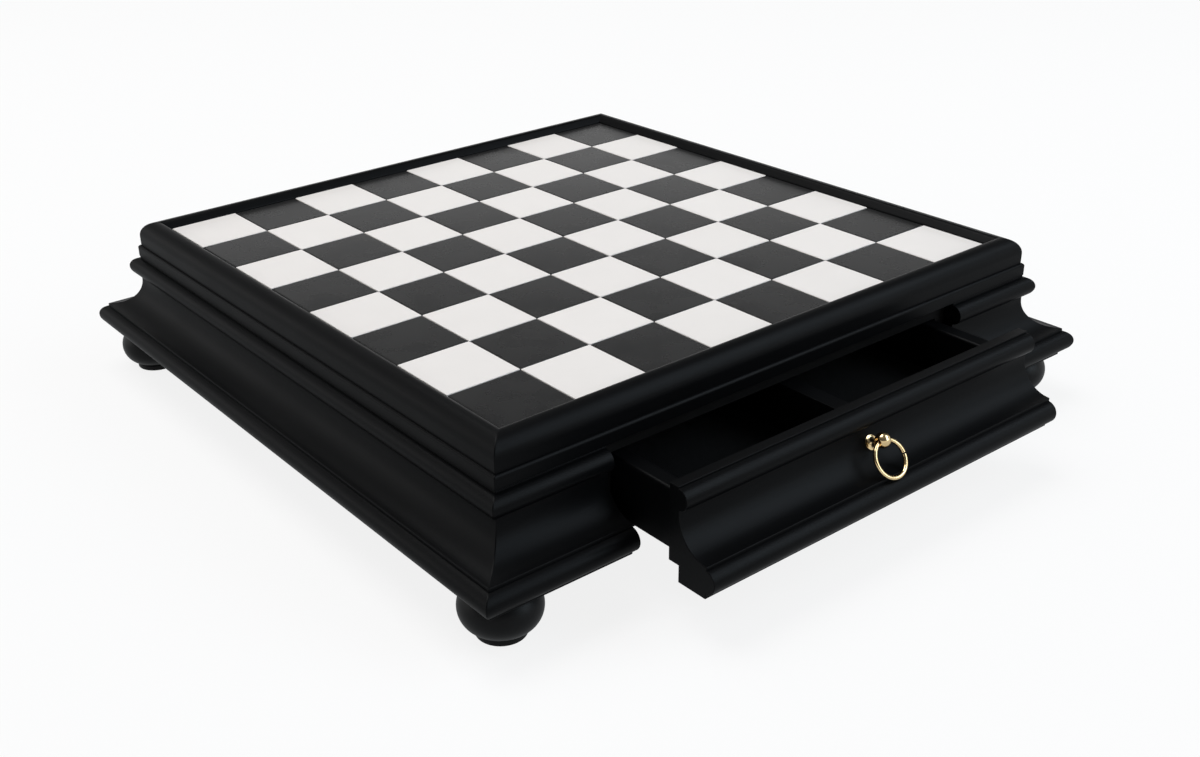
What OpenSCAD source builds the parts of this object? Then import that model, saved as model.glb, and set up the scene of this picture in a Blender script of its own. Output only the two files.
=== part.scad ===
// Chess box with two drawers.
// A square board of loose-laid tiles sits in a mitred frame on a moulded case with four ball feet.
// The case moulding, the corner pieces and the drawer faces are all cut from one profile.
// Origin: centre of the box on the table. +Z is up and -Y is the side of the front drawer.

/* [Playing field] */
// Side of one square
square = 40; // [36:1:50]
// Thickness of a tile
tile_t = 8; // [5:0.5:8]
// Width of the joint between two tiles
tile_joint = 0.15; // [0.1:0.05:0.4]
// Chamfer round the top of a tile
tile_chamfer = 0.35; // [0.2:0.05:0.6]
// Thickness of the board that the tiles lie on
backing_t = 9.25; // [9:0.25:12]

/* [Top frame] */
// Distance that the foot of the frame stands out from the field
frame_out = 15.8; // [15:0.1:18]
// Height of the proud band along the foot of the frame
band_h = 6.95; // [5:0.05:9]
// Distance that the band stands out from the side of the frame
band_proud = 1.5; // [0.5:0.1:2]
// Radius of the rounded outer edge
edge_r = 8.6; // [7.5:0.1:9]
// Height of the frame's crest above the tiles
crest_h = 3.65; // [3.2:0.05:4]
// Width of the bevel that falls to the tiles
bevel_w = 5.2; // [4.5:0.1:5.5]
// Thickness of the lip at the foot of the bevel
lip_t = 0.3; // [0.2:0.05:0.5]
// Distance that the lip covers the outer tiles
lip_cover = 1; // [0.8:0.1:1.5]

/* [Case moulding] */
// Distance from the edge of the field out to the back of the moulding
back_out = 10; // [9:0.5:11]
// Height of the fillet at the very bottom
base_fillet_h = 2.5; // [2:0.1:4]
// Width of the bottom fillet from the back of the moulding
base_fillet_w = 22.6; // [22.4:0.1:22.9]
// Radius of the half-round torus
torus_r = 5.75; // [5.5:0.05:6]
// Width of the moulding over the torus
torus_w = 27.8; // [27:0.1:28.5]
// Height of the fillet between torus and cove
mid_fillet_h = 1.6; // [1:0.1:3]
// Width of that fillet from the back of the moulding
mid_fillet_w = 22.9; // [22.5:0.1:23.4]
// Radius of the quarter-round cove
cove_r = 16.7; // [16:0.1:17]
// Height of the straight neck above the cove
neck_h = 2.1; // [1.5:0.05:4]
// Radius of the bead under the frame
bead_r = 5.25; // [5:0.05:5.5]
// Width of the moulding over the bead
bead_w = 10.8; // [10.5:0.1:11.5]
// Height of the quirk between the bead and the frame
quirk_h = 1.15; // [0.8:0.05:1.5]

/* [Case inside] */
// Thickness of the bottom panel
bottom_t = 8; // [6:0.5:8.5]
// Thickness of the top panel
top_t = 8; // [6:0.5:8]
// Width of the rabbet that takes the bottom panel
rabbet_w = 6; // [4:0.5:8]
// Thickness of a drawer guide
guide_t = 12; // [9:0.5:18]
// Thickness of the partition between the two drawers
partition_t = 8; // [6:0.5:10]
// Leg of the three-cornered glue blocks
block_leg = 22; // [15:1:26]

/* [Feet] */
// Height of the case above the table
foot_h = 22.7; // [21:0.1:25]
// Radius of the flattened ball at its widest
foot_ball_r = 18.8; // [18:0.1:20]
// Height of its widest place above the table
foot_ball_z = 14; // [13.5:0.1:14.5]
// Radius of the rounding of its side
foot_side_r = 11.2; // [11:0.1:12]
// Radius of the disc under the ball
foot_disc_r = 11.5; // [10.5:0.1:13]
// Height of that disc
foot_disc_h = 3; // [2:0.1:4]
// Distance from the back of the moulding out to the centre of a foot
foot_set_out = 5; // [4:0.5:6]
// Radius of the spigot on the foot
spigot_r = 4; // [3:0.5:5]
// Length of the spigot
spigot_l = 14; // [10:0.5:14.5]

/* [Drawers] */
// Half width of the opening in the case
opening_half = 116.6; // [114:0.1:120]
// Clearance at each end of a drawer face
face_gap = 0.3; // [0.3:0.05:1]
// Running clearance round a drawer
run_gap = 0.3; // [0.3:0.05:0.5]
// Half width between the two guides
bay_half = 110; // [106:0.5:112]
// Height of the drawer sides
side_h = 29.1; // [24:0.1:29.1]
// Thickness of the drawer sides and the back
side_t = 9; // [7:0.5:11]
// Thickness of the divider
divider_t = 9.5; // [7:0.5:11]
// Thickness of the drawer floor
floor_t = 4; // [3:0.5:5]
// Width of the rabbet in a side that takes the floor and the back
side_rabbet_w = 4.5; // [3:0.5:5]
// Depth of the groove in the back that takes the divider
groove_d = 3; // [2:0.5:4]
// Radius of the rounded upper edges of the sides
side_edge_r = 1.5; // [0.5:0.1:2]
// Thickness of the felt lining
lining_t = 1; // [0.5:0.1:1.5]
// Distance from the middle of the box to the back of a closed drawer
drawer_rear = 10; // [8:1:20]
// Distance that the front drawer stands open
front_open = 44.4; // [0:0.1:120]

/* [Ring pulls] */
// Height of the pull's foot on the cove, above the bottom of the moulding
pull_rise = 25.6; // [24:0.1:28]
// Angle of the pull above level
pull_tilt = 30; // [20:1:35]
// Diameter of the flange
flange_d = 7.2; // [6:0.1:8]
// Thickness of the flange's rim
flange_t = 0.8; // [0.6:0.1:1.2]
// Diameter of the neck
neck_d = 2.5; // [2:0.1:3]
// Diameter of the ball
ball_d = 7.5; // [7:0.1:7.8]
// Distance from the cove to the centre of the ball
ball_out = 7.7; // [7.6:0.1:9]
// Diameter of the cross hole in the ball
eye_d = 3.8; // [3.7:0.1:4]
// Radius of the ring to the middle of its wire
ring_r = 8.9; // [8.5:0.1:9]
// Diameter of the ring's wire
wire_d = 2; // [1.8:0.1:2.1]
// Angle of the hanging ring outwards from plumb
ring_lean = 36.2; // [36.2:0.1:60]
// Angle round the ring at which it is split
split_at = 6; // [-40:1:40]
// Width of the split
split_w = 0.35; // [0.2:0.05:0.6]
// Length of the pull's stem in the wood
stem_l = 6.5; // [4:0.5:6.5]

/* [Screws] */
// Diameter of a wood screw
screw_d = 3.5; // [3:0.5:4]
// Diameter of its countersunk head
screw_head_d = 7; // [6:0.5:8]
// Length of a screw
screw_l = 16; // [12:1:16]

/* [Hidden] */
$fn = 96;

squares = 8;
// Small overlap that keeps two cutting faces from coinciding
over = 1;

lacquer = [0.10, 0.10, 0.11];
raw_board = [0.16, 0.15, 0.15];
black_tile = [0.22, 0.22, 0.23];
white_tile = [0.95, 0.94, 0.91];
felt = [0.07, 0.07, 0.07];
brass = [0.85, 0.66, 0.33];
steel = [0.62, 0.62, 0.64];

// Heights, from the table up
case_z = foot_h;
torus_z = case_z + base_fillet_h + torus_r;
cove_z = torus_z + torus_r + mid_fillet_h + cove_r;
bead_z = cove_z + neck_h + bead_r;
case_top_z = bead_z + bead_r + quirk_h;
tile_z = case_top_z + backing_t;
play_z = tile_z + tile_t;
crest_z = play_z + crest_h;
bottom_top_z = case_z + bottom_t;
bay_top_z = case_top_z - top_t;

// Distances out from the middle of the box
field_half = squares * square / 2;
back_u = field_half + back_out;
rabbet_u = back_u + rabbet_w;
base_fillet_u = back_u + base_fillet_w;
torus_u = back_u + torus_w - torus_r;
mid_fillet_u = back_u + mid_fillet_w;
neck_u = mid_fillet_u - cove_r;
bead_u = back_u + bead_w - bead_r;
reach_u = back_u + torus_w + over;
foot_u = back_u + foot_set_out;

// Top frame
rebate_u = field_half + tile_joint / 2;
lip_u = field_half - lip_cover;
frame_u = field_half + frame_out;
frame_side_u = frame_u - band_proud;
edge_u = frame_side_u - edge_r;
edge_z = crest_z - edge_r;
bevel_u = lip_u + bevel_w;
bevel_top_z = edge_z + sqrt(pow(edge_r, 2) - pow(edge_u - bevel_u, 2));
band_round_z = case_top_z + band_h - band_proud;

// Drawer box, in its closed place behind the front face
box_half = bay_half - run_gap;
inner_half = box_half - side_t;
floor_half = inner_half + side_rabbet_w;
box_z = bottom_top_z + run_gap;
floor_top_z = box_z + floor_t;
side_top_z = box_z + side_h;
box_front_y = -back_u - run_gap;
box_rear_y = -drawer_rear;
box_back_y = box_rear_y - side_t;
face_half = opening_half - face_gap;

// Pull, on the middle of the drawer face
pull_z = case_z + pull_rise;
pull_u = mid_fillet_u - sqrt(pow(cove_r, 2) - pow(cove_z - pull_z, 2));
seat_sink = 0.1;
seat_d = flange_d + 0.4;
seat_reach = 12;
flange_cove_r = (flange_d - neck_d) / 2;
ball_u = pull_u + ball_out * cos(pull_tilt);
ball_z = pull_z + ball_out * sin(pull_tilt);
split_angle = split_w / ring_r * 180 / PI;

// Where the screws go
bottom_screw_x = bay_half + guide_t / 2;
bottom_screw_y = [40, 130];
board_screw_x = field_half - 14;
board_screw_y = field_half - 60;

// A rectangle between two corners
module box_2d(from, to) {
    translate(from)
        square(to - from);
}

// A cuboid between two corners
module box_3d(from, to) {
    translate(from)
        cube(to - from);
}

// The four mirrored copies of something that stands in the +X +Y quarter
module four_corners() {
    for (sx = [0, 1], sy = [0, 1])
        mirror([sx, 0, 0])
            mirror([0, sy, 0])
                children();
}

// The case moulding in section: across is the distance from the middle of the box, up is height.
// trim planes the back, the rabbet and the top of a drawer face for its running clearance.
module moulding_profile(trim = 0) {
    difference() {
        union() {
            box_2d([back_u, case_z], [base_fillet_u, torus_z]);
            box_2d([back_u, torus_z], [mid_fillet_u, cove_z]);
            box_2d([back_u, cove_z], [neck_u, bead_z]);
            box_2d([back_u, bead_z], [bead_u, case_top_z]);
            translate([torus_u, torus_z])
                circle(torus_r);
            translate([bead_u, bead_z])
                circle(bead_r);
        }
        intersection() {
            translate([mid_fillet_u, cove_z])
                circle(cove_r);
            box_2d([neck_u - over, case_z], [reach_u, cove_z + over]);
        }
        box_2d([back_u - over, case_z - over], [back_u + trim, case_top_z + over]);
        box_2d([back_u - over, case_z - over], [rabbet_u + trim, bottom_top_z + trim]);
        if (trim > 0)
            box_2d([back_u - over, case_top_z - trim], [bead_u + bead_r, case_top_z + over]);
    }
}

// The top frame in section
module rail_profile() {
    difference() {
        union() {
            box_2d([lip_u, case_top_z], [frame_side_u, edge_z]);
            box_2d([lip_u, case_top_z], [frame_u, band_round_z]);
            translate([frame_side_u, band_round_z])
                circle(band_proud);
            intersection() {
                translate([edge_u, edge_z])
                    circle(edge_r);
                box_2d([bevel_u, edge_z - over], [frame_u, crest_z + over]);
            }
            polygon([
                [lip_u, edge_z - over],
                [bevel_u + over, edge_z - over],
                [bevel_u + over, edge_z],
                [bevel_u, bevel_top_z],
                [lip_u, play_z + lip_t]
            ]);
        }
        box_2d([lip_u - over, case_top_z - over], [rebate_u, play_z]);
    }
}

// A length of a profile along the front face, from x0 to x1
module run_front(x0, x1) {
    translate([x1, 0, 0])
        rotate([90, 0, -90])
            linear_extrude(height = x1 - x0)
                children();
}

// The same, cut on the mitres of the front side
module mitred_front(x0, x1) {
    intersection() {
        run_front(x0, x1)
            children();
        linear_extrude(height = crest_z + over)
            polygon([[0, 0], [-reach_u, -reach_u], [reach_u, -reach_u]]);
    }
}

// The holes for the spigots of the four feet
module spigot_holes() {
    four_corners()
        translate([foot_u, foot_u, case_z - over])
            cylinder(h = spigot_l + over, r = spigot_r);
}

// A countersunk wood screw with its head at z = 0, pointing up
module screw() {
    head_r = screw_head_d / 2;
    shank_r = screw_d / 2;
    point_h = screw_d;
    rotate_extrude()
        polygon([
            [0, 0],
            [head_r, 0],
            [shank_r, head_r - shank_r],
            [shank_r, screw_l - point_h],
            [0, screw_l]
        ]);
}

module bottom_screw_set() {
    four_corners()
        for (y = bottom_screw_y)
            translate([bottom_screw_x, y, case_z])
                screw();
}

module board_screw_set() {
    four_corners()
        translate([board_screw_x, board_screw_y, bay_top_z])
            screw();
}

// One tile with a chamfer round its top, resting on z = 0
module tile() {
    half = (square - tile_joint) / 2;
    outline = [
        [-half, 0],
        [half, 0],
        [half, tile_t - tile_chamfer],
        [half - tile_chamfer, tile_t],
        [tile_chamfer - half, tile_t],
        [-half, tile_t - tile_chamfer]
    ];
    intersection() {
        rotate([90, 0, 0])
            linear_extrude(height = square, center = true)
                polygon(outline);
        rotate([90, 0, 90])
            linear_extrude(height = square, center = true)
                polygon(outline);
    }
}

// The tiles of one colour: parity 0 takes the near left corner of the field
module tiles(parity) {
    for (i = [0 : squares - 1], j = [0 : squares - 1])
        if ((i + j) % 2 == parity)
            translate([(i + 0.5) * square - field_half, (j + 0.5) * square - field_half, tile_z])
                tile();
}

module white_tiles() {
    color(white_tile)
        tiles(1);
}

module black_tiles() {
    color(black_tile)
        tiles(0);
}

module tile_backing() {
    color(raw_board)
        difference() {
            box_3d([-rebate_u, -rebate_u, case_top_z], [rebate_u, rebate_u, tile_z]);
            board_screw_set();
        }
}

// One of the four frame rails: quarter 0 is the front, 1 the right, 2 the rear and 3 the left
module frame_rail(quarter) {
    color(lacquer)
        rotate([0, 0, 90 * quarter])
            mitred_front(-reach_u, reach_u)
                rail_profile();
}

module board_screws() {
    color(steel)
        board_screw_set();
}

module top_panel() {
    color(raw_board)
        difference() {
            box_3d([-back_u, -back_u, bay_top_z], [back_u, back_u, case_top_z]);
            board_screw_set();
        }
}

module bottom_panel() {
    color(lacquer)
        difference() {
            box_3d([-rabbet_u, -rabbet_u, case_z], [rabbet_u, rabbet_u, bottom_top_z]);
            spigot_holes();
            bottom_screw_set();
        }
}

module side_moulding(quarter) {
    color(lacquer)
        difference() {
            rotate([0, 0, 90 * quarter])
                mitred_front(-reach_u, reach_u)
                    moulding_profile();
            spigot_holes();
        }
}

// The short length of moulding beside a drawer, on the front left
module corner_moulding() {
    color(lacquer)
        difference() {
            mitred_front(-reach_u, -opening_half)
                moulding_profile();
            spigot_holes();
        }
}

module drawer_guide() {
    color(raw_board)
        difference() {
            box_3d([bay_half, -back_u, bottom_top_z], [bay_half + guide_t, back_u, bay_top_z]);
            bottom_screw_set();
        }
}

module centre_partition() {
    color(raw_board)
        box_3d(
            [-bay_half, -partition_t / 2, bottom_top_z],
            [bay_half, partition_t / 2, bay_top_z]
        );
}

module corner_blocks() {
    color(raw_board)
        four_corners()
            translate([0, 0, bottom_top_z])
                linear_extrude(height = bay_top_z - bottom_top_z)
                    polygon([
                        [back_u, back_u],
                        [back_u - block_leg, back_u],
                        [back_u, back_u - block_leg]
                    ]);
}

// A turned foot: a flattened ball with its disc below and its spigot above
module foot() {
    color(lacquer)
        translate([foot_u, foot_u, 0])
            rotate_extrude()
                union() {
                    box_2d([0, 0], [foot_disc_r, foot_disc_h]);
                    box_2d([0, foot_disc_h], [spigot_r, case_z + spigot_l]);
                    box_2d([0, foot_disc_h], [foot_ball_r - foot_side_r, case_z]);
                    intersection() {
                        translate([foot_ball_r - foot_side_r, foot_ball_z])
                            circle(foot_side_r);
                        box_2d([0, foot_disc_h], [foot_ball_r + over, case_z]);
                    }
                }
}

module bottom_screws() {
    color(steel)
        bottom_screw_set();
}

// Places a drawer piece, drawn closed behind the front face, in the open front drawer
module in_front_drawer() {
    translate([0, -front_open, 0])
        children();
}

// Places the same piece in the closed rear drawer
module in_rear_drawer() {
    rotate([0, 0, 180])
        children();
}

// Turns the pull's own axis, which runs along +Z, into its direction on the drawer face
module on_pull_axis() {
    translate([0, -pull_u, pull_z])
        rotate([90 - pull_tilt, 0, 0])
            children();
}

// The moulded face, with the seat and the pilot hole of its pull
module drawer_face() {
    color(lacquer)
        difference() {
            run_front(-face_half, face_half)
                moulding_profile(run_gap);
            on_pull_axis() {
                translate([0, 0, -seat_sink])
                    cylinder(h = seat_reach, d = seat_d);
                translate([0, 0, -seat_sink - stem_l])
                    cylinder(h = stem_l + over, d = neck_d);
            }
        }
}

// A drawer side in section, with its outer face at x = 0 and its inner face towards +X
module side_profile() {
    difference() {
        union() {
            box_2d([0, 0], [side_t, side_h - side_edge_r]);
            box_2d([side_edge_r, 0], [side_t - side_edge_r, side_h]);
            for (x = [side_edge_r, side_t - side_edge_r])
                translate([x, side_h - side_edge_r])
                    circle(side_edge_r);
        }
        box_2d([side_t - side_rabbet_w, -over], [side_t + over, floor_t]);
    }
}

// The left side of a drawer, rabbeted for the floor and the back
module drawer_side() {
    color(lacquer)
        difference() {
            translate([-box_half, box_rear_y, box_z])
                rotate([90, 0, 0])
                    linear_extrude(height = box_rear_y - box_front_y)
                        side_profile();
            box_3d(
                [-floor_half, box_back_y, box_z - over],
                [-inner_half + over, box_rear_y + over, side_top_z + over]
            );
        }
}

module drawer_back() {
    color(lacquer)
        difference() {
            box_3d(
                [-floor_half, box_back_y, floor_top_z],
                [floor_half, box_rear_y, side_top_z]
            );
            box_3d(
                [-divider_t / 2, box_back_y - over, floor_top_z - over],
                [divider_t / 2, box_back_y + groove_d, side_top_z + over]
            );
        }
}

module drawer_floor() {
    color(raw_board)
        box_3d([-floor_half, box_front_y, box_z], [floor_half, box_rear_y, floor_top_z]);
}

module drawer_divider() {
    color(lacquer)
        box_3d(
            [-divider_t / 2, box_front_y, floor_top_z],
            [divider_t / 2, box_back_y + groove_d, side_top_z]
        );
}

module drawer_linings() {
    color(felt)
        for (side = [0, 1])
            mirror([side, 0, 0])
                box_3d(
                    [divider_t / 2, box_front_y, floor_top_z],
                    [inner_half, box_back_y, floor_top_z + lining_t]
                );
}

// The turned pull: a stem in the wood, a flange that sweeps into the neck, and a drilled ball
module pull_post() {
    color(brass)
        on_pull_axis()
            difference() {
                rotate_extrude()
                    union() {
                        box_2d([0, -seat_sink - stem_l], [neck_d / 2, ball_out]);
                        difference() {
                            box_2d([0, -seat_sink], [flange_d / 2, flange_t + flange_cove_r]);
                            translate([flange_d / 2, flange_t + flange_cove_r])
                                circle(flange_cove_r);
                        }
                        intersection() {
                            translate([0, ball_out])
                                circle(d = ball_d);
                            box_2d([0, 0], [ball_d, ball_out + ball_d]);
                        }
                    }
                translate([0, 0, ball_out])
                    rotate([0, 90, 0])
                        cylinder(h = ball_d + over, d = eye_d, center = true);
            }
}

// The split ring: its wire passes through the ball and its plane leans out from plumb
module pull_ring() {
    color(brass)
        translate([0, -ball_u, ball_z])
            rotate([90 - ring_lean, 0, 0])
                translate([0, -ring_r, 0])
                    rotate([0, 0, split_at + split_angle / 2])
                        rotate_extrude(angle = 360 - split_angle)
                            translate([ring_r, 0])
                                circle(d = wire_d);
}

module frame_rail_front() { frame_rail(0); }
module frame_rail_right() { frame_rail(1); }
module frame_rail_rear() { frame_rail(2); }
module frame_rail_left() { frame_rail(3); }
module side_moulding_right() { side_moulding(1); }
module side_moulding_left() { side_moulding(3); }
module corner_moulding_front_left() { corner_moulding(); }
module corner_moulding_front_right() { mirror([1, 0, 0]) corner_moulding(); }
module corner_moulding_rear_left() { mirror([0, 1, 0]) corner_moulding(); }
module corner_moulding_rear_right() { rotate([0, 0, 180]) corner_moulding(); }
module drawer_guide_right() { drawer_guide(); }
module drawer_guide_left() { mirror([1, 0, 0]) drawer_guide(); }
module foot_rear_right() { foot(); }
module foot_rear_left() { mirror([1, 0, 0]) foot(); }
module foot_front_right() { mirror([0, 1, 0]) foot(); }
module foot_front_left() { rotate([0, 0, 180]) foot(); }
module front_drawer_face() { in_front_drawer() drawer_face(); }
module front_drawer_side_left() { in_front_drawer() drawer_side(); }
module front_drawer_side_right() { in_front_drawer() mirror([1, 0, 0]) drawer_side(); }
module front_drawer_back() { in_front_drawer() drawer_back(); }
module front_drawer_floor() { in_front_drawer() drawer_floor(); }
module front_drawer_divider() { in_front_drawer() drawer_divider(); }
module front_drawer_linings() { in_front_drawer() drawer_linings(); }
module front_pull_post() { in_front_drawer() pull_post(); }
module front_pull_ring() { in_front_drawer() pull_ring(); }
module rear_drawer_face() { in_rear_drawer() drawer_face(); }
module rear_drawer_side_left() { in_rear_drawer() mirror([1, 0, 0]) drawer_side(); }
module rear_drawer_side_right() { in_rear_drawer() drawer_side(); }
module rear_drawer_back() { in_rear_drawer() drawer_back(); }
module rear_drawer_floor() { in_rear_drawer() drawer_floor(); }
module rear_drawer_divider() { in_rear_drawer() drawer_divider(); }
module rear_drawer_linings() { in_rear_drawer() drawer_linings(); }
module rear_pull_post() { in_rear_drawer() pull_post(); }
module rear_pull_ring() { in_rear_drawer() pull_ring(); }

white_tiles();
black_tiles();
tile_backing();
frame_rail_front();
frame_rail_rear();
frame_rail_left();
frame_rail_right();
board_screws();
top_panel();
bottom_panel();
side_moulding_left();
side_moulding_right();
corner_moulding_front_left();
corner_moulding_front_right();
corner_moulding_rear_left();
corner_moulding_rear_right();
drawer_guide_left();
drawer_guide_right();
centre_partition();
corner_blocks();
foot_front_left();
foot_front_right();
foot_rear_left();
foot_rear_right();
bottom_screws();
front_drawer_face();
front_drawer_side_left();
front_drawer_side_right();
front_drawer_back();
front_drawer_floor();
front_drawer_divider();
front_drawer_linings();
front_pull_post();
front_pull_ring();
rear_drawer_face();
rear_drawer_side_left();
rear_drawer_side_right();
rear_drawer_back();
rear_drawer_floor();
rear_drawer_divider();
rear_drawer_linings();
rear_pull_post();
rear_pull_ring();
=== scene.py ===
"""Dresses the chess box: softened mouldings, tiles, brass pulls, their finishes, the stage and the lamps."""
import math

import bmesh
import bpy
from mathutils import Matrix, Vector


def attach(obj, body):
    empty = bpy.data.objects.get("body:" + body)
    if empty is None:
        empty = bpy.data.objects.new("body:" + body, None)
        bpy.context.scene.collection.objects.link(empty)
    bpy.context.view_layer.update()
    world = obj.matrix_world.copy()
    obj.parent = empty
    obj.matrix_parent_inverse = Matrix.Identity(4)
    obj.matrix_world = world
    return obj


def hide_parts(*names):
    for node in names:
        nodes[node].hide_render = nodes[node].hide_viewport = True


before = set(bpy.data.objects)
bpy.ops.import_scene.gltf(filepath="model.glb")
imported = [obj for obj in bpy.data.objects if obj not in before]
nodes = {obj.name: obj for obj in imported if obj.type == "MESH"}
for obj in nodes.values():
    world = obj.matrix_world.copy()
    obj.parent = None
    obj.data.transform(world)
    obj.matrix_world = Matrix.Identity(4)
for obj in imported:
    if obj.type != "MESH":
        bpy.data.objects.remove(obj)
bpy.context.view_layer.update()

MM = 0.001


# ---------------------------------------------------------------- dimensions
# In millimetres and degrees: out from the middle of the box and up from the plane that it stands on

FRONT_OPEN = 44.4

# Case moulding, from its base fillet up to its bead
CASE_LOW = 22.7
CASE_HIGH = 68.75
BASE_OUT = 192.6
TORUS_LOW = 25.227
TORUS_MIDDLE = (192.05, 30.95)
TORUS_HIGH = 36.637
FILLET_OUT = 192.9
FILLET_HIGH = 38.3
COVE_HIGH = 55.0
NECK_OUT = 176.2
NECK_HIGH = 57.14
BEAD_OUT = 175.55
BEAD_UP = 62.35
BEAD_HIGH = 67.6
CASE_IN = 170
REBATE_OUT = 176
REBATE_HIGH = 30.7
OPENING_HALF = 116.6
FACE_HALF = 116.3
RUN_GAP = 0.3

# Top frame, from its band over the shoulder and the crest to the foot of the bevel
RAIL_IN = 160.075
BAND_OUT = 175.8
BAND_UP = 74.2
BAND_HIGH = 75.7
RAIL_OUT = 174.3
SHOULDER_OUT = 165.7
SHOULDER_UP = 81.05
SHOULDER_END = (165.597, 89.648)
CREST_MIDDLE = (165.635, 86.449)
CREST_END = (163.403, 88.742)
BEVEL_FOOT = (160.7, 86.11)
JOINT_LOW = 85.0

# Board
SQUARES = 8
SQUARE = 40.0
FIELD_HALF = SQUARES * SQUARE / 2
TILE_JOINT = 0.15
TILE_LOW = 78.0
PLAY_HIGH = 86.0

# Ball feet
FOOT_OUT = 175.0
DISC_R = 11.5
DISC_HIGH = 3.0
FOOT_LOW_R = 9.707
FOOT_SIDE = (7.6, 14.0)
FOOT_TOP_R = 14.653
SPIGOT_R = 4.0
SPIGOT_HIGH = 36.6

# Screws of the bottom panel
SCREWS_OUT = 116
SCREWS_ALONG = (-130, -40, 40, 130)
SCREW_HEAD_R = 3.5
SCREW_R = 1.75
SCREW_POINT_R = 0.02
SCREW_LONG = 16.0
RECESS_REACH = 1.9
RECESS_HALF = 0.45
RECESS_DEEP = 1.3
RECESS_TAPER = 0.6

# Drawers, closed: the inside runs from the front of the back board out to the rear of the face
FACE_REAR = 170.3
BACK_FRONT = 19.0
INNER_HALF = 100.7
DIVIDER_HALF = 4.75
FLOOR_HIGH = 35.0

# Felt linings and their slight wave
LINING_GAP = 0.15
LINING_THICK = 0.9
WAVE_HIGH = 0.07
WAVE_ACROSS = 9.0
WAVE_ALONG = 13.0
WAVE_SHIFT = 1.3

# Ring pulls; the stem is measured along its own line from the face of the cove
PULL_OUT = 177.603
PULL_HIGH = 48.3
PULL_TILT = 30.0
STEM_R = 1.25
STEM_DEEP = 6.6
STEM_LONG = 5.2
FLANGE_R = 3.6
FLANGE_LOW = -0.1
FLANGE_HIGH = 0.8
SWEEP_HIGH = 3.15
BALL_OUT = 7.7
BALL_R = 3.75
HOLE_R = 1.9
RING_R = 8.9
WIRE_R = 1.0
RING_LEAN = 36.2
SPLIT_AT = -2.0
SPLIT_W = 0.55

# Widths by which the arrises are eased
CASE_EASE = 0.45
FRAME_EASE = 0.5
CUT_EASE = 0.35
TILE_EASE = {"white": 0.4, "black": 0.9}
FOOT_EASE = 0.45
BOX_EASE = 0.3
LINING_EASE = 0.3
STEM_EASE = 0.12
BRASS_EASE = 0.15

# Edges that turn by less stay smooth; corners and square ends turn by more
SMOOTH_BELOW = 28
CORNER_ABOVE = 40
END_ABOVE = 60
FLAT_WITHIN = 1

# Points closer than this are one; a cut takes in what lies this near to its plane
WELD = 0.001
CUT_REACH = 0.0001

# Steps in a full turn
FOOT_STEPS = 64
PULL_STEPS = 48
SCREW_STEPS = 36
WIRE_STEPS = 24
RING_STEPS = 96


# ---------------------------------------------------------------- camera

CAMERA_PLACE = (-0.4547, -0.5789, 0.3592)
CAMERA_TURN = (63.888, 1.588, -37.602)
CAMERA_LENS = 42.27
CAMERA_SHIFT = 0.0527
CAMERA_REACH = 50


def place_camera():
    """The viewing angle, low over the near left corner."""
    lens = bpy.data.cameras.new("camera")
    lens.lens = CAMERA_LENS
    lens.shift_x = CAMERA_SHIFT
    lens.clip_end = CAMERA_REACH
    camera = bpy.data.objects.new("camera", lens)
    camera.location = CAMERA_PLACE
    camera.rotation_euler = [math.radians(angle) for angle in CAMERA_TURN]
    bpy.context.scene.collection.objects.link(camera)
    bpy.context.scene.camera = camera


place_camera()


# ---------------------------------------------------------------- shader writing

class Wire:
    """One output of a shader node, on which plain arithmetic can be done."""

    def __init__(self, paint, socket):
        self.paint = paint
        self.socket = socket

    def sum(self, operation, left, right):
        return self.paint.node("ShaderNodeMath", {"operation": operation}, {0: left, 1: right})

    def __add__(self, other):
        return self.sum("ADD", self, other)

    def __radd__(self, other):
        return self.sum("ADD", other, self)

    def __sub__(self, other):
        return self.sum("SUBTRACT", self, other)

    def __rsub__(self, other):
        return self.sum("SUBTRACT", other, self)

    def __mul__(self, other):
        return self.sum("MULTIPLY", self, other)

    def __rmul__(self, other):
        return self.sum("MULTIPLY", other, self)


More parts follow.
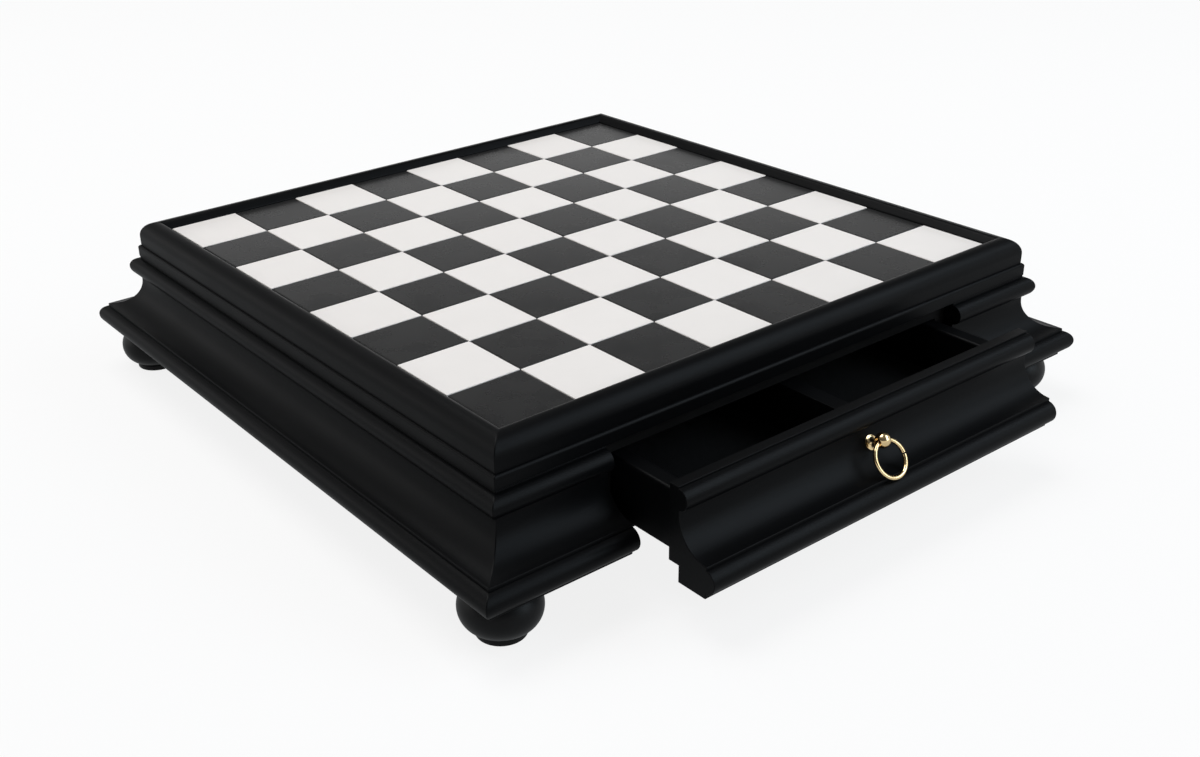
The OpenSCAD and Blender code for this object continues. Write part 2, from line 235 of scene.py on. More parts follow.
class Paint:
    """A finish that is written node by node."""

    def __init__(self, tree):
        self.tree = tree
        self.tree.nodes.clear()

    def node(self, kind, settings=None, inputs=None, output=0):
        """Adds one node: its settings first, then the values or wires of its sockets."""
        made = self.tree.nodes.new(kind)
        for key, value in (settings or {}).items():
            setattr(made, key, value)
        for key, value in (inputs or {}).items():
            if isinstance(value, Wire):
                self.tree.links.new(value.socket, made.inputs[key])
            else:
                made.inputs[key].default_value = value
        return Wire(self, made.outputs[output]) if made.outputs else None

    def ramp(self, value, stops):
        """Grey steps over a value from 0 to 1."""
        made = self.tree.nodes.new("ShaderNodeValToRGB")
        steps = made.color_ramp.elements
        while len(steps) < len(stops):
            steps.new(1.0)
        for step, (position, grey) in zip(steps, stops):
            step.position = position
            step.color = (grey, grey, grey, 1)
        self.tree.links.new(value.socket, made.inputs[0])
        return Wire(self, made.outputs[0])

    def stretched(self, scale):
        """The place on the object, scaled along each axis."""
        return self.node("ShaderNodeMapping", None, {"Vector": self.place, "Scale": scale})

    def noise(self, scale, detail=3, where=None, roughness=0.5):
        """Smooth noise from 0 to 1, whose scale is in lumps per metre."""
        inputs = {"Vector": where or self.place, "Scale": scale, "Detail": detail, "Roughness": roughness}
        return self.node("ShaderNodeTexNoise", None, inputs)

    def mix(self, share, first, second):
        """The first colour going over into the second."""
        inputs = {0: share, 6: (*first, 1) if isinstance(first, tuple) else first}
        inputs[7] = (*second, 1) if isinstance(second, tuple) else second
        return self.node("ShaderNodeMix", {"data_type": "RGBA"}, inputs, output=2)

    def range(self, value, low, high, to_low, to_high):
        """The value's stretch from low to high, laid onto another stretch and clamped there."""
        inputs = {"Value": value, 1: low, 2: high, 3: to_low, 4: to_high}
        return self.node("ShaderNodeMapRange", {"clamp": True}, inputs)

    def bump(self, height, depth, under=None):
        """A relief of that depth in metres, over another relief if there is one."""
        inputs = {"Height": height, "Distance": depth, "Strength": 1.0}
        if under:
            inputs["Normal"] = under
        return self.node("ShaderNodeBump", None, inputs)


class Finish(Paint):
    """A material whose patterns lie on the object's own coordinates."""

    def __init__(self, name):
        self.material = bpy.data.materials.new(name)
        self.material.use_nodes = True
        super().__init__(self.material.node_tree)
        self.place = self.node("ShaderNodeTexCoord", output="Object")

    def surface(self, **inputs):
        """Sends the finish to the surface and returns the material."""
        named = {key.replace("_", " "): value for key, value in inputs.items()}
        shader = self.node("ShaderNodeBsdfPrincipled", None, named)
        self.node("ShaderNodeOutputMaterial", None, {"Surface": shader})
        return self.material


# ---------------------------------------------------------------- finishes

def lacquer(name, grain, gloss=0.068):
    """Satin black lacquer on wood; grain is the stretch of its faint grain along x, y and z."""
    paint = Finish(name)
    pores = paint.noise(scale=1, detail=4, where=paint.stretched(grain), roughness=0.6)
    peel = paint.noise(scale=900, detail=2)
    cloud = paint.noise(scale=14)
    tone = paint.mix(cloud, first=(0.0016, 0.0018, 0.0021), second=(0.0026, 0.0028, 0.0032))
    relief = paint.bump(pores, depth=0.00003)
    relief = paint.bump(peel, depth=0.000008, under=relief)
    return paint.surface(
        Base_Color=tone,
        Roughness=paint.range(cloud + pores * 0.4, low=0.4, high=1.0, to_low=0.36, to_high=0.46),
        Specular_IOR_Level=gloss,
        Normal=relief,
    )


def stained_board():
    """Black-stained plywood: open, matt and a little uneven."""
    paint = Finish("stained_board")
    fibres = paint.noise(scale=1, detail=5, where=paint.stretched((60, 900, 900)), roughness=0.65)
    cloud = paint.noise(scale=18)
    streaks = paint.range(fibres + cloud, low=0.7, high=1.3, to_low=0, to_high=1)
    tone = paint.mix(streaks, first=(0.0032, 0.0031, 0.0030), second=(0.0070, 0.0067, 0.0065))
    return paint.surface(
        Base_Color=tone,
        Roughness=paint.range(fibres, low=0.3, high=0.7, to_low=0.55, to_high=0.75),
        Specular_IOR_Level=0.12,
        Normal=paint.bump(fibres, depth=0.00006),
    )


def tile_finish(name, dark, light, smooth, dull, gloss):
    """A satin tile: every square has its own slight shade over a fine cloud."""
    paint = Finish(name)
    wide = SQUARE * MM
    square = paint.node(
        "ShaderNodeVectorMath", {"operation": "SNAP"}, {0: paint.place, 1: (wide, wide, 1.0)}
    )
    shade = paint.node("ShaderNodeTexWhiteNoise", {"noise_dimensions": "3D"}, {"Vector": square}, "Value")
    cloud = paint.noise(scale=55, detail=4)
    speckle = paint.noise(scale=1500, detail=2)
    tone = paint.mix(cloud * 0.55 + shade * 0.3 + speckle * 0.15, dark, light)
    return paint.surface(
        Base_Color=tone,
        Roughness=paint.range(cloud, low=0.3, high=0.7, to_low=smooth, to_high=dull),
        Specular_IOR_Level=gloss,
        Normal=paint.bump(speckle, depth=0.000004),
    )


def brass():
    """Polished brass with hairlines and a breath of tarnish."""
    paint = Finish("brass")
    tarnish = paint.noise(scale=260, detail=4)
    hairline = paint.noise(scale=1, where=paint.stretched((9000, 1500, 1500)))
    patches = paint.range(tarnish, low=0.35, high=0.75, to_low=0, to_high=1)
    tone = paint.mix(patches, first=(0.91, 0.71, 0.40), second=(0.80, 0.57, 0.28))
    return paint.surface(
        Base_Color=tone,
        Metallic=1.0,
        Roughness=paint.range(tarnish, low=0.3, high=0.8, to_low=0.12, to_high=0.24),
        Normal=paint.bump(hairline, depth=0.000003),
    )


def felt():
    """Short black felt."""
    paint = Finish("felt")
    lint = paint.noise(scale=2600)
    cloud = paint.noise(scale=40)
    tone = paint.mix(
        lint * 0.6 + cloud * 0.4, first=(0.0022, 0.0022, 0.0024), second=(0.0050, 0.0050, 0.0053)
    )
    return paint.surface(
        Base_Color=tone,
        Roughness=0.95,
        Specular_IOR_Level=0.08,
        Sheen_Weight=0.04,
        Sheen_Roughness=0.5,
        Normal=paint.bump(lint, depth=0.0002),
    )


def zinc():
    """Zinc-plated screw steel."""
    paint = Finish("zinc")
    bloom = paint.noise(scale=700)
    tone = paint.mix(bloom, first=(0.42, 0.43, 0.45), second=(0.60, 0.60, 0.58))
    return paint.surface(
        Base_Color=tone,
        Metallic=1.0,
        Roughness=paint.range(bloom, low=0.3, high=0.7, to_low=0.3, to_high=0.5),
    )


LACQUER_X = lacquer("lacquer_along_x", grain=(55, 1300, 1300))
LACQUER_Y = lacquer("lacquer_along_y", grain=(1300, 55, 1300))
LACQUER_TURNED = lacquer("lacquer_turned", grain=(260, 260, 900), gloss=0.16)
BOARD = stained_board()
WHITE_TILE = tile_finish(
    "white_tile",
    dark=(0.812, 0.768, 0.733),
    light=(0.862, 0.818, 0.783),
    smooth=0.30,
    dull=0.38,
    gloss=0.25,
)
BLACK_TILE = tile_finish(
    "black_tile",
    dark=(0.0120, 0.0119, 0.0119),
    light=(0.0168, 0.0166, 0.0165),
    smooth=0.24,
    dull=0.31,
    gloss=0.22,
)
BRASS = brass()
FELT = felt()
ZINC = zinc()


# ---------------------------------------------------------------- shaping tools

class Outline:
    """A section drawn with a pen, in millimetres out from the middle and up."""

    def __init__(self, out, up):
        self.shape = bmesh.new()
        self.start = self.tip = self.shape.verts.new((out, 0, up))

    def line(self, out, up):
        made = bmesh.ops.extrude_vert_indiv(self.shape, verts=[self.tip])
        self.tip = made["verts"][0]
        self.tip.co = (out, 0, up)
        return self

    def arc(self, centre, to, turn, step=4):
        """A round stretch to a point, counter-clockwise for a turn of 1 and clockwise for -1."""
        middle = Vector((centre[0], 0, centre[1]))
        before = self.tip.co - middle
        after = Vector((to[0], 0, to[1])) - middle
        swept = math.atan2(after.z, after.x) - math.atan2(before.z, before.x)
        swept = swept % math.tau if turn > 0 else -(-swept % math.tau)
        made = bmesh.ops.spin(
            self.shape,
            geom=[self.tip],
            cent=middle,
            axis=(0, -1, 0),
            angle=swept,
            steps=max(2, round(abs(math.degrees(swept)) / step)),
        )
        self.tip = next(part for part in made["geom_last"] if isinstance(part, bmesh.types.BMVert))
        self.tip.co = (to[0], 0, to[1])
        return self

    def close(self):
        self.shape.edges.new((self.tip, self.start))
        return self.shape


def convex_edges(shape, above=SMOOTH_BELOW):
    """The edges that stand out sharper than an angle."""
    return [
        edge for edge in shape.edges
        if edge.is_manifold and edge.calc_face_angle_signed() > math.radians(above)
    ]


def ease(shape, edges, width, segments=3):
    """Rounds edges by a width in the shape's own unit."""
    bmesh.ops.bevel(
        shape,
        geom=edges,
        offset=width,
        segments=segments,
        affect="EDGES",
        profile=0.5,
        material=-1,
        clamp_overlap=True,
    )


def move(shape, by):
    bmesh.ops.translate(shape, vec=by, verts=shape.verts)
    return shape


def turn(shape, degrees, axis):
    """Turns a shape about an axis through the origin."""
    turned = Matrix.Rotation(math.radians(degrees), 3, axis)
    bmesh.ops.rotate(shape, cent=(0, 0, 0), matrix=turned, verts=shape.verts)
    return shape


def tidy(shape):
    """Closes seams and poles and points all faces outwards."""
    bmesh.ops.remove_doubles(shape, verts=shape.verts, dist=WELD)
    bmesh.ops.recalc_face_normals(shape, faces=shape.faces)
    return shape


def spun(shape, steps, angle=360.0):
    """Turns a section about z: all the way round, or by an angle."""
    bmesh.ops.spin(
        shape,
        geom=shape.verts[:] + shape.edges[:],
        cent=(0, 0, 0),
        axis=(0, 0, 1),
        angle=math.radians(angle),
        steps=steps,
        use_merge=angle == 360.0,
    )
    return tidy(shape)


def mitred_loop(outline, width):
    """A square frame of one section, mitred at its four corners, with its outer arrises eased."""
    shape = outline.close()
    bmesh.ops.scale(shape, vec=(math.sqrt(2), 1, 1), verts=shape.verts)
    spun(turn(shape, 45, "Z"), steps=4)
    ease(shape, convex_edges(shape), width)
    return shape


def straight_length(outline, half, width):
    """A length of a section along x that stands at the front, with its arrises eased."""
    shape = outline.close()
    bmesh.ops.contextual_create(shape, geom=shape.edges)
    move(turn(shape, -90, "Z"), (-half, 0, 0))
    grown = bmesh.ops.extrude_face_region(shape, geom=shape.faces[:])
    far_end = [part for part in grown["geom"] if isinstance(part, bmesh.types.BMVert)]
    bmesh.ops.translate(shape, vec=(2 * half, 0, 0), verts=far_end)
    tidy(shape)
    ease(shape, convex_edges(shape), width)
    return shape


def block(low, high, width, segments=2):
    """A cuboid between two corners with all its arrises eased."""
    shape = bmesh.new()
    bmesh.ops.create_cube(shape, size=1)
    bmesh.ops.scale(shape, vec=[b - a for a, b in zip(low, high)], verts=shape.verts)
    move(shape, [(a + b) / 2 for a, b in zip(low, high)])
    ease(shape, shape.edges[:], width, segments)
    return shape


def cut(shape, point, outward):
    """Cuts away what lies beyond a plane, closes the cut and returns its rim."""
    made = bmesh.ops.bisect_plane(
        shape,
        geom=shape.verts[:] + shape.edges[:] + shape.faces[:],
        dist=CUT_REACH,
        plane_co=point,
        plane_no=outward,
        clear_outer=True,
    )
    rim = [part for part in made["geom_cut"] if isinstance(part, bmesh.types.BMEdge)]
    bmesh.ops.contextual_create(shape, geom=rim)
    return rim


def joined(shapes):
    """Several closed shapes as one."""
    whole = bmesh.new()
    for shape in shapes:
        part = bpy.data.meshes.new("part")
        shape.to_mesh(part)
        shape.free()
        whole.from_mesh(part)
        bpy.data.meshes.remove(part)
    return whole


def eased_copy(node, width, segments=2):
    """A merged copy of a CAD node, in millimetres, with its sharp edges eased."""
    shape = bmesh.new()
    shape.from_mesh(nodes[node].data)
    bmesh.ops.scale(shape, vec=(1 / MM, 1 / MM, 1 / MM), verts=shape.verts)
    bmesh.ops.remove_doubles(shape, verts=shape.verts, dist=WELD)
    bmesh.ops.dissolve_limit(
        shape, angle_limit=math.radians(FLAT_WITHIN), verts=shape.verts, edges=shape.edges
    )
    ease(shape, convex_edges(shape, CORNER_ABOVE), width, segments)
    return shape


def corner_normals(shape):
    """A normal per face corner in which a broad face outweighs its narrow neighbours."""
    for edge in shape.edges:
        edge.smooth = edge.calc_face_angle(math.pi) < math.radians(SMOOTH_BELOW)
    normals = {}
    for vert in shape.verts:
        waiting = set(vert.link_loops)
        while waiting:
            fan = [waiting.pop()]
            for corner in fan:
                for side in (corner, corner.link_loop_prev):
                    if side.edge.smooth:
                        across = side.link_loop_radial_next
                        across = across if across.vert == vert else across.link_loop_next
                        if across in waiting:
                            waiting.remove(across)
                            fan.append(across)
            normal = sum((corner.face.normal * corner.face.calc_area() for corner in fan), Vector())
            normals.update((corner, normal.normalized()) for corner in fan)
    return [normals[corner] for face in shape.faces for corner in face.loops]


def piece(name, shape, finish, body, replaced):
    """Makes a finished object of a shape in millimetres and lets it stand for its CAD nodes."""
    shape.normal_update()
    normals = corner_normals(shape)
    bmesh.ops.scale(shape, vec=(MM, MM, MM), verts=shape.verts)
    mesh = bpy.data.meshes.new(name)
    shape.to_mesh(mesh)
    shape.free()
    mesh.materials.append(finish)
    mesh.shade_smooth()
    mesh.normals_split_custom_set(normals)
    made = bpy.data.objects.new(name, mesh)
    bpy.context.scene.collection.objects.link(made)
    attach(made, body)
    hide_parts(*replaced)
    return made


# ---------------------------------------------------------------- mouldings and rails

def case_outline(gap=0.0):
    """The case moulding in section; gap is what a drawer face is planed by."""
    high = CASE_HIGH - gap
    inner = CASE_IN + gap
    rebate_out = REBATE_OUT + gap
    rebate_high = REBATE_HIGH + gap
    pen = Outline(rebate_out, CASE_LOW)
    pen.line(BASE_OUT, CASE_LOW).line(BASE_OUT, TORUS_LOW)
    pen.arc(TORUS_MIDDLE, (FILLET_OUT, TORUS_HIGH), 1)
    pen.line(FILLET_OUT, FILLET_HIGH)
    pen.arc((FILLET_OUT, COVE_HIGH), (NECK_OUT, COVE_HIGH), -1)
    pen.line(NECK_OUT, NECK_HIGH)
    pen.arc((BEAD_OUT, BEAD_UP), (BEAD_OUT, BEAD_HIGH), 1)
    pen.line(BEAD_OUT, high)
    pen.line(inner, high).line(inner, rebate_high).line(rebate_out, rebate_high)
    return pen


def rail_outline():
    """The top frame in section, from its proud band over the rounded crest down to the tiles."""
    pen = Outline(RAIL_IN, CASE_HIGH)
    pen.line(BAND_OUT, CASE_HIGH).line(BAND_OUT, BAND_UP)
    pen.arc((RAIL_OUT, BAND_UP), (RAIL_OUT, BAND_HIGH), 1)
    pen.line(RAIL_OUT, SHOULDER_UP)
    pen.arc((SHOULDER_OUT, SHOULDER_UP), SHOULDER_END, 1)
    pen.arc(CREST_MIDDLE, CREST_END, 1)
    pen.line(*BEVEL_FOOT).line(BEVEL_FOOT[0], JOINT_LOW).line(RAIL_IN, JOINT_LOW)
    return pen


# The turn of each side about z, from the front
SIDES = {"front": 0, "right": 90, "rear": 180, "left": 270}


def one_side(loop, side):
    """The stretch of a mitred loop between the two mitres of one side."""
    shape = loop.copy()
    for across in (-1, 1):
        outward = Matrix.Rotation(math.radians(SIDES[side]), 3, "Z") @ Vector((across, 1, 0))
        cut(shape, (0, 0, 0), outward.normalized())
    return shape


def build_frame_rails():
    """The four rails of the top frame."""
    loop = mitred_loop(rail_outline(), FRAME_EASE)
    for side in SIDES:
        finish = LACQUER_X if side in ("front", "rear") else LACQUER_Y
        name = "frame_rail_" + side
        piece(name + "_lacquered", one_side(loop, side), finish, "case", [name])
    loop.free()


def build_case_mouldings():
    """The side mouldings, and the corner mouldings that end at the drawer openings."""
    loop = mitred_loop(case_outline(), CASE_EASE)
    for side in ("left", "right"):
        name = "side_moulding_" + side
        piece(name + "_lacquered", one_side(loop, side), LACQUER_Y, "case", [name])
    for end in ("front", "rear"):
        for hand, sign in (("left", -1), ("right", 1)):
            shape = one_side(loop, end)
            rim = cut(shape, (sign * OPENING_HALF, 0, 0), (-sign, 0, 0))
            ease(shape, rim, CUT_EASE, segments=2)
            name = "corner_moulding_" + end + "_" + hand
            piece(name + "_lacquered", shape, LACQUER_X, "case", [name])
    loop.free()


# ---------------------------------------------------------------- board

def build_tiles():
    """The loose tiles of each colour, laid on the backing board."""
    half = (SQUARE - TILE_JOINT) / 2
    for parity, name, finish in ((1, "white", WHITE_TILE), (0, "black", BLACK_TILE)):
        places = [
            (column, row) for column in range(SQUARES) for row in range(SQUARES)
            if (column + row) % 2 == parity
        ]
        laid = []
        for column, row in places:
            tile = block((-half, -half, TILE_LOW), (half, half, PLAY_HIGH), TILE_EASE[name], segments=3)
            across = (column + 0.5) * SQUARE - FIELD_HALF
            along = (row + 0.5) * SQUARE - FIELD_HALF
            laid.append(move(tile, (across, along, 0)))
        piece(name + "_tiles_laid", joined(laid), finish, "case", [name + "_tiles"])


# ---------------------------------------------------------------- feet and screws

def build_feet():
    """Four turned ball feet, each on its disc and with its spigot in the case."""
    for end, along in (("front", -1), ("rear", 1)):
        for hand, across in (("left", -1), ("right", 1)):
            pen = Outline(0, 0)
            pen.line(DISC_R, 0).line(DISC_R, DISC_HIGH).line(FOOT_LOW_R, DISC_HIGH)
            pen.arc(FOOT_SIDE, (FOOT_TOP_R, CASE_LOW), 1, step=5)
            pen.line(SPIGOT_R, CASE_LOW).line(SPIGOT_R, SPIGOT_HIGH).line(0, SPIGOT_HIGH)
            shape = spun(pen.shape, FOOT_STEPS)
            ease(shape, convex_edges(shape), FOOT_EASE)
            move(shape, (across * FOOT_OUT, along * FOOT_OUT, 0))
            name = "foot_" + end + "_" + hand
            piece(name + "_turned", shape, LACQUER_TURNED, "case", [name])


def recessed_screw():
    """A countersunk screw with a cross recess, its head at z = 0 and its point up."""
    shape = bmesh.new()
    bmesh.ops.create_grid(shape, x_segments=3, y_segments=3, size=RECESS_REACH)
    for vert in shape.verts:
        for axis in (0, 1):
            if abs(vert.co[axis]) < RECESS_REACH / 2:
                vert.co[axis] = math.copysign(RECESS_HALF, vert.co[axis])
    cross = [
        face for face in shape.faces
        if min(abs(out) for out in face.calc_center_median().xy) < RECESS_HALF
    ]
    square = [edge for edge in shape.edges if edge.is_boundary]
    ring = bmesh.ops.create_circle(shape, segments=SCREW_STEPS, radius=SCREW_HEAD_R)["verts"]
    rim = list({edge for vert in ring for edge in vert.link_edges})
    bmesh.ops.bridge_loops(shape, edges=square + rim)
    sunk = bmesh.ops.extrude_face_region(shape, geom=cross)
    low = [part for part in sunk["geom"] if isinstance(part, bmesh.types.BMVert)]
    bmesh.ops.translate(shape, vec=(0, 0, RECESS_DEEP), verts=low)
    bmesh.ops.scale(shape, vec=(RECESS_TAPER, RECESS_TAPER, 1), verts=low)
    shank = (
        (SCREW_R, SCREW_HEAD_R - SCREW_R),
        (SCREW_R, SCREW_LONG - 2 * SCREW_R),
        (SCREW_POINT_R, SCREW_LONG),
    )
    for radius, up in shank:
        grown = bmesh.ops.extrude_edge_only(shape, edges=rim)["geom"]
        rim = [part for part in grown if isinstance(part, bmesh.types.BMEdge)]
        for vert in {vert for edge in rim for vert in edge.verts}:
            vert.co.z = up
            vert.co.xy = vert.co.xy.normalized() * radius
    bmesh.ops.contextual_create(shape, geom=rim)
    return tidy(shape)


def build_bottom_screws():
    """The eight screws that hold the bottom panel to the drawer guides."""
    driven = [
        move(recessed_screw(), (out, along, CASE_LOW))
        for out in (-SCREWS_OUT, SCREWS_OUT) for along in SCREWS_ALONG
    ]
    piece("bottom_screws_driven", joined(driven), ZINC, "case", ["bottom_screws"])


# ---------------------------------------------------------------- drawers

def place_drawer(shape, which):
    """Puts a shape, made closed behind the front, into the front or the rear drawer."""
    if which == "front":
        return move(shape, (0, -FRONT_OPEN, 0))
    return turn(shape, 180, "Z")


def build_drawer(which):
    """One drawer: its face off the case moulding, the eased boards of its box and its linings."""
    body = which + "_drawer"
    face = place_drawer(straight_length(case_outline(RUN_GAP), FACE_HALF, CUT_EASE), which)
    piece(body + "_face_lacquered", face, LACQUER_X, body, [body + "_face"])
    for part in ("side_left", "side_right", "back", "divider"):
        node = body + "_" + part
        finish = LACQUER_X if part == "back" else LACQUER_Y
        piece(node + "_lacquered", eased_copy(node, BOX_EASE), finish, body, [node])
    for hand, sign in (("left", -1), ("right", 1)):
        build_lining(which, hand, sign)


def build_lining(which, hand, sign):
    """One felt sheet, laid loose on the drawer's floor, with a soft rim and a slight wave."""
    wide = INNER_HALF - DIVIDER_HALF - 2 * LINING_GAP
    long = FACE_REAR - BACK_FRONT - 2 * LINING_GAP
    shape = bmesh.new()
    bmesh.ops.create_grid(shape, x_segments=24, y_segments=36, size=0.5)
    bmesh.ops.scale(shape, vec=(wide, long, 1), verts=shape.verts)
    bmesh.ops.recalc_face_normals(shape, faces=shape.faces)
    for vert in shape.verts:
        across = math.sin(vert.co.x / WAVE_ACROSS + WAVE_SHIFT * sign)
        along = math.sin(vert.co.y / WAVE_ALONG)
        vert.co.z = WAVE_HIGH * (1 + across * along)
    bmesh.ops.solidify(shape, geom=shape.faces[:], thickness=-LINING_THICK)
    ease(shape, convex_edges(shape, END_ABOVE), LINING_EASE, segments=2)
    low = min(vert.co.z for vert in shape.verts)
    move(shape, (sign * (DIVIDER_HALF + INNER_HALF) / 2, -(FACE_REAR + BACK_FRONT) / 2, FLOOR_HIGH - low))
    body = which + "_drawer"
    lining = piece(
        body + "_felt_" + hand, place_drawer(shape, which), FELT, body, [body + "_linings"]
    )


# ---------------------------------------------------------------- ring pulls

def turned_stem():
    """The stem, the flange that sweeps into the neck, and the neck up to the ball."""
    pen = Outline(0, -STEM_DEEP)
    pen.line(STEM_R, -STEM_DEEP).line(STEM_R, FLANGE_LOW)
    pen.line(FLANGE_R, FLANGE_LOW).line(FLANGE_R, FLANGE_HIGH)
    pen.arc((FLANGE_R, SWEEP_HIGH), (STEM_R, SWEEP_HIGH), -1, step=10)
    pen.line(STEM_R, STEM_LONG).line(0, STEM_LONG)
    shape = spun(pen.shape, PULL_STEPS)
    ease(shape, convex_edges(shape), STEM_EASE, segments=2)
    return shape


def drilled_ball():
    """The ball that the ring hangs in, turned about the line of its hole."""
    half_bore = math.sqrt(BALL_R ** 2 - HOLE_R ** 2)
    pen = Outline(HOLE_R, -half_bore)
    pen.arc((0, 0), (HOLE_R, half_bore), 1, step=6)
    shape = spun(pen.close(), PULL_STEPS)
    ease(shape, convex_edges(shape), BRASS_EASE, segments=2)
    return move(turn(shape, 90, "Y"), (0, 0, BALL_OUT))


def split_ring():
    """The ring as it hangs in the eye: bent round wire with two square-cut ends."""
    split = math.degrees(SPLIT_W / RING_R)
    shape = bmesh.new()
    bmesh.ops.create_circle(shape, segments=WIRE_STEPS, radius=WIRE_R)
    move(turn(shape, 90, "X"), (RING_R, 0, 0))
    section = shape.edges[:]
    made = bmesh.ops.spin(
        shape,
        geom=section,
        cent=(0, 0, 0),
        axis=(0, 0, 1),
        angle=math.radians(360 - split),
        steps=RING_STEPS,
    )
    last = [part for part in made["geom_last"] if isinstance(part, bmesh.types.BMEdge)]
    bmesh.ops.contextual_create(shape, geom=section)
    bmesh.ops.contextual_create(shape, geom=last)
    tidy(shape)
    ease(shape, convex_edges(shape, END_ABOVE), BRASS_EASE, segments=2)
    turn(shape, SPLIT_AT + split / 2, "Z")
    return move(shape, (0, -RING_R, 0))


def build_pull(which):
    """One pull: the post that stands square on the cove, and the ring that hangs in its ball."""
    tilt = math.radians(PULL_TILT)
    post = joined([turned_stem(), drilled_ball()])
    move(turn(post, 90 - PULL_TILT, "X"), (0, -PULL_OUT, PULL_HIGH))
    name = which + "_pull_"
    piece(name + "post_turned", place_drawer(post, which), BRASS, which + "_drawer", [name + "post"])
    ring = turn(split_ring(), 90 - RING_LEAN, "X")
    move(ring, (0, -PULL_OUT - BALL_OUT * math.cos(tilt), PULL_HIGH + BALL_OUT * math.sin(tilt)))
    piece(name + "ring_bent", place_drawer(ring, which), BRASS, which + "_ring", [name + "ring"])


build_frame_rails()
build_case_mouldings()
build_tiles()
build_feet()
build_bottom_screws()
for drawer in ("front", "rear"):
    build_drawer(drawer)
    build_pull(drawer)


# ---------------------------------------------------------------- stage and lamps
# In metres, watts and linear light

FLOOR_REACH = 25
FLOOR_LOW = -0.00005
FLOOR_MATT = (0.86, 0.86, 0.86, 1)

# The share of plain white in the floor that the camera sees
FLOOR_WHITENED = 0.85

# How the floor shows in the object's gloss
FLOOR_GLOSS_TINT = (0.95, 0.98, 1, 1)
FLOOR_GLOSS = 0.6
FLOOR_GLOSS_SHARE = 0.8

# Brightness of the surround by height, from straight down at 0 to straight up at 1
SKY = [
    (0.50, 1.0),
    (0.625, 1.0),
    (0.639, 0.60),
    (0.655, 0.15),
    (0.68, 0.16),
    (0.71, 0.12),
    (0.74, 0.07),
    (1.0, 0.22),
]

# The way to the bright side of the surround, and how bright the other sides and that side are
BEHIND = (0.61, 0.79, 0)
SIDE_SHARE = 0.8
BEHIND_SHARE = 1.35

# What the camera sees past the floor, as bright as the floor's far end
HORIZON = 0.875

# Each lamp's place, width, power and tint; all of them shine at the middle of the box
LAMPS = {
    "overhead": ((-0.3, 0.8, 2.6), 1.8, 47, (1, 1, 1)),
    "key": ((1.5, -1.1, 1.7), 1.3, 16, (0.89, 1.0, 1.11)),
    "front": ((1.1, -1.9, 1.1), 1.2, 13, (0.86, 1.0, 1.11)),
    "left": ((-2.2, 2.0, 1.6), 2.4, 19, (1, 1, 1)),
}


def build_stage():
    """A pale floor that keeps the shadow."""
    mesh = bpy.data.meshes.new("floor")
    shape = bmesh.new()
    bmesh.ops.create_grid(shape, x_segments=1, y_segments=1, size=FLOOR_REACH)
    shape.to_mesh(mesh)
    shape.free()
    floor = bpy.data.objects.new("floor", mesh)
    floor.location.z = FLOOR_LOW
    bpy.context.scene.collection.objects.link(floor)
    paint = Finish("floor")
    ray = {
        name: paint.node("ShaderNodeLightPath", output="Is " + name + " Ray")
        for name in ("Camera", "Glossy", "Transmission")
    }
    matt = paint.node("ShaderNodeBsdfDiffuse", None, {"Color": FLOOR_MATT})
    white = paint.node("ShaderNodeEmission", None, {"Color": (1, 1, 1, 1), "Strength": 1.0})
    dim = paint.node("ShaderNodeEmission", None, {"Color": FLOOR_GLOSS_TINT, "Strength": FLOOR_GLOSS})
    whitened = (ray["Camera"] + ray["Transmission"]) * FLOOR_WHITENED
    seen = paint.node("ShaderNodeMixShader", None, {0: whitened, 1: matt, 2: white})
    glossed = ray["Glossy"] * FLOOR_GLOSS_SHARE
    both = paint.node("ShaderNodeMixShader", None, {0: glossed, 1: seen, 2: dim})
    paint.node("ShaderNodeOutputMaterial", None, {"Surface": both})
    mesh.materials.append(paint.material)


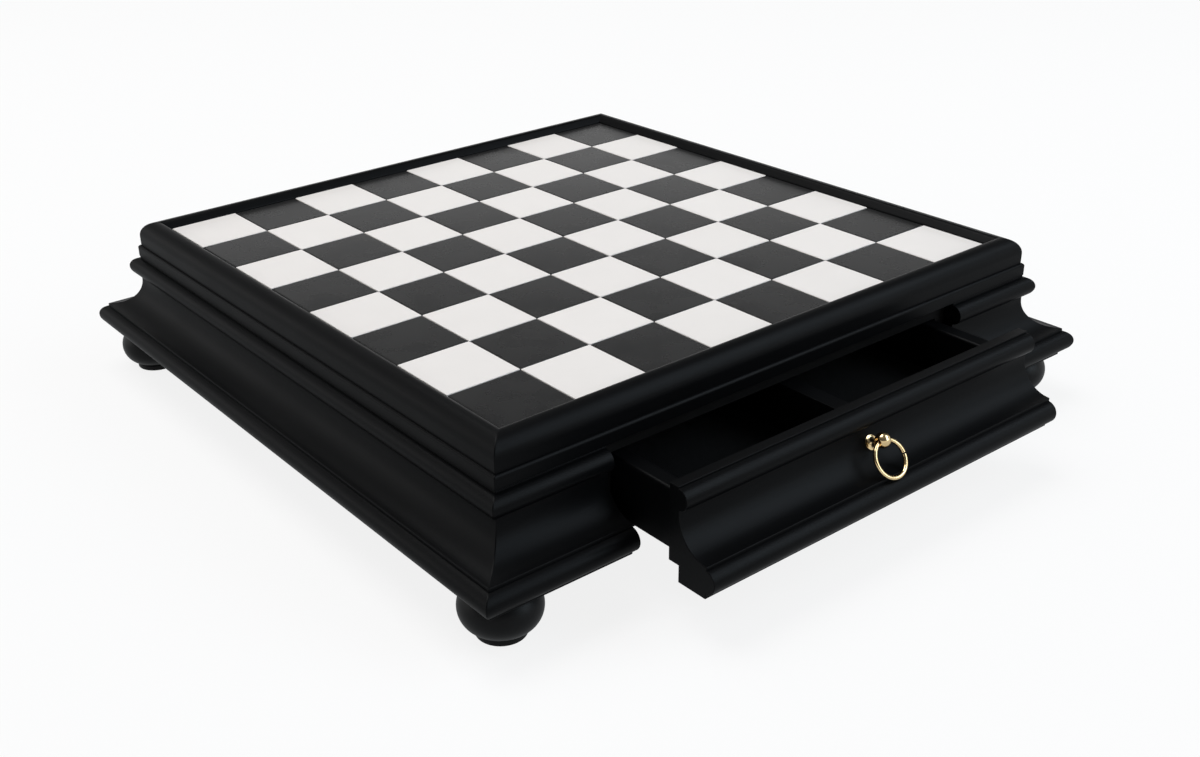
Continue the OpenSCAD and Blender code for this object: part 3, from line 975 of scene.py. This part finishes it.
def build_world():
    """A pale surround: bright low behind the box, dimmer to its other sides and overhead."""
    world = bpy.data.worlds.new("surround")
    world.use_nodes = True
    bpy.context.scene.world = world
    paint = Paint(world.node_tree)
    direction = paint.node("ShaderNodeTexCoord", output="Generated")
    height = paint.node("ShaderNodeSeparateXYZ", None, {0: direction}, "Z")
    level = paint.ramp(height * 0.5 + 0.5, SKY)
    behind = paint.node(
        "ShaderNodeVectorMath", {"operation": "DOT_PRODUCT"}, {0: direction, 1: BEHIND}, "Value"
    )
    share = paint.range(behind, low=0.55, high=0.9, to_low=SIDE_SHARE, to_high=BEHIND_SHARE)
    seen = paint.node("ShaderNodeLightPath", output="Is Camera Ray")
    shown = level * share * (1 - seen) + seen * HORIZON
    surround = paint.node("ShaderNodeBackground", None, {"Color": shown, "Strength": 1.0})
    paint.node("ShaderNodeOutputWorld", None, {"Surface": surround})


def build_lamp(name, place, size, power, tint):
    """A soft square lamp that shines at the middle of the box."""
    light = bpy.data.lights.new(name, "AREA")
    light.size = size
    light.energy = power
    light.color = tint
    made = bpy.data.objects.new(name, light)
    made.location = place
    made.rotation_euler = (-Vector(place)).to_track_quat("-Z", "Y").to_euler()
    made.visible_camera = False
    bpy.context.scene.collection.objects.link(made)


build_stage()
build_world()
for lamp_name, settings in LAMPS.items():
    build_lamp(lamp_name, *settings)


# ---------------------------------------------------------------- finishes on the CAD nodes

FINISHES = {
    "tile_backing": BOARD, "top_panel": BOARD, "bottom_panel": LACQUER_X,
    "drawer_guide_left": BOARD, "drawer_guide_right": BOARD, "centre_partition": BOARD,
    "corner_blocks": BOARD, "front_drawer_floor": BOARD, "rear_drawer_floor": BOARD,
    "white_tiles": WHITE_TILE, "black_tiles": BLACK_TILE,
    "board_screws": ZINC, "bottom_screws": ZINC,
    "front_drawer_linings": FELT, "rear_drawer_linings": FELT,
    "front_pull_post": BRASS, "rear_pull_post": BRASS,
    "front_pull_ring": BRASS, "rear_pull_ring": BRASS,
}
for node_name, part in nodes.items():
    part.data.materials.clear()
    part.data.materials.append(FINISHES.get(node_name, LACQUER_X))

bpy.context.scene.view_settings.view_transform = "Standard"
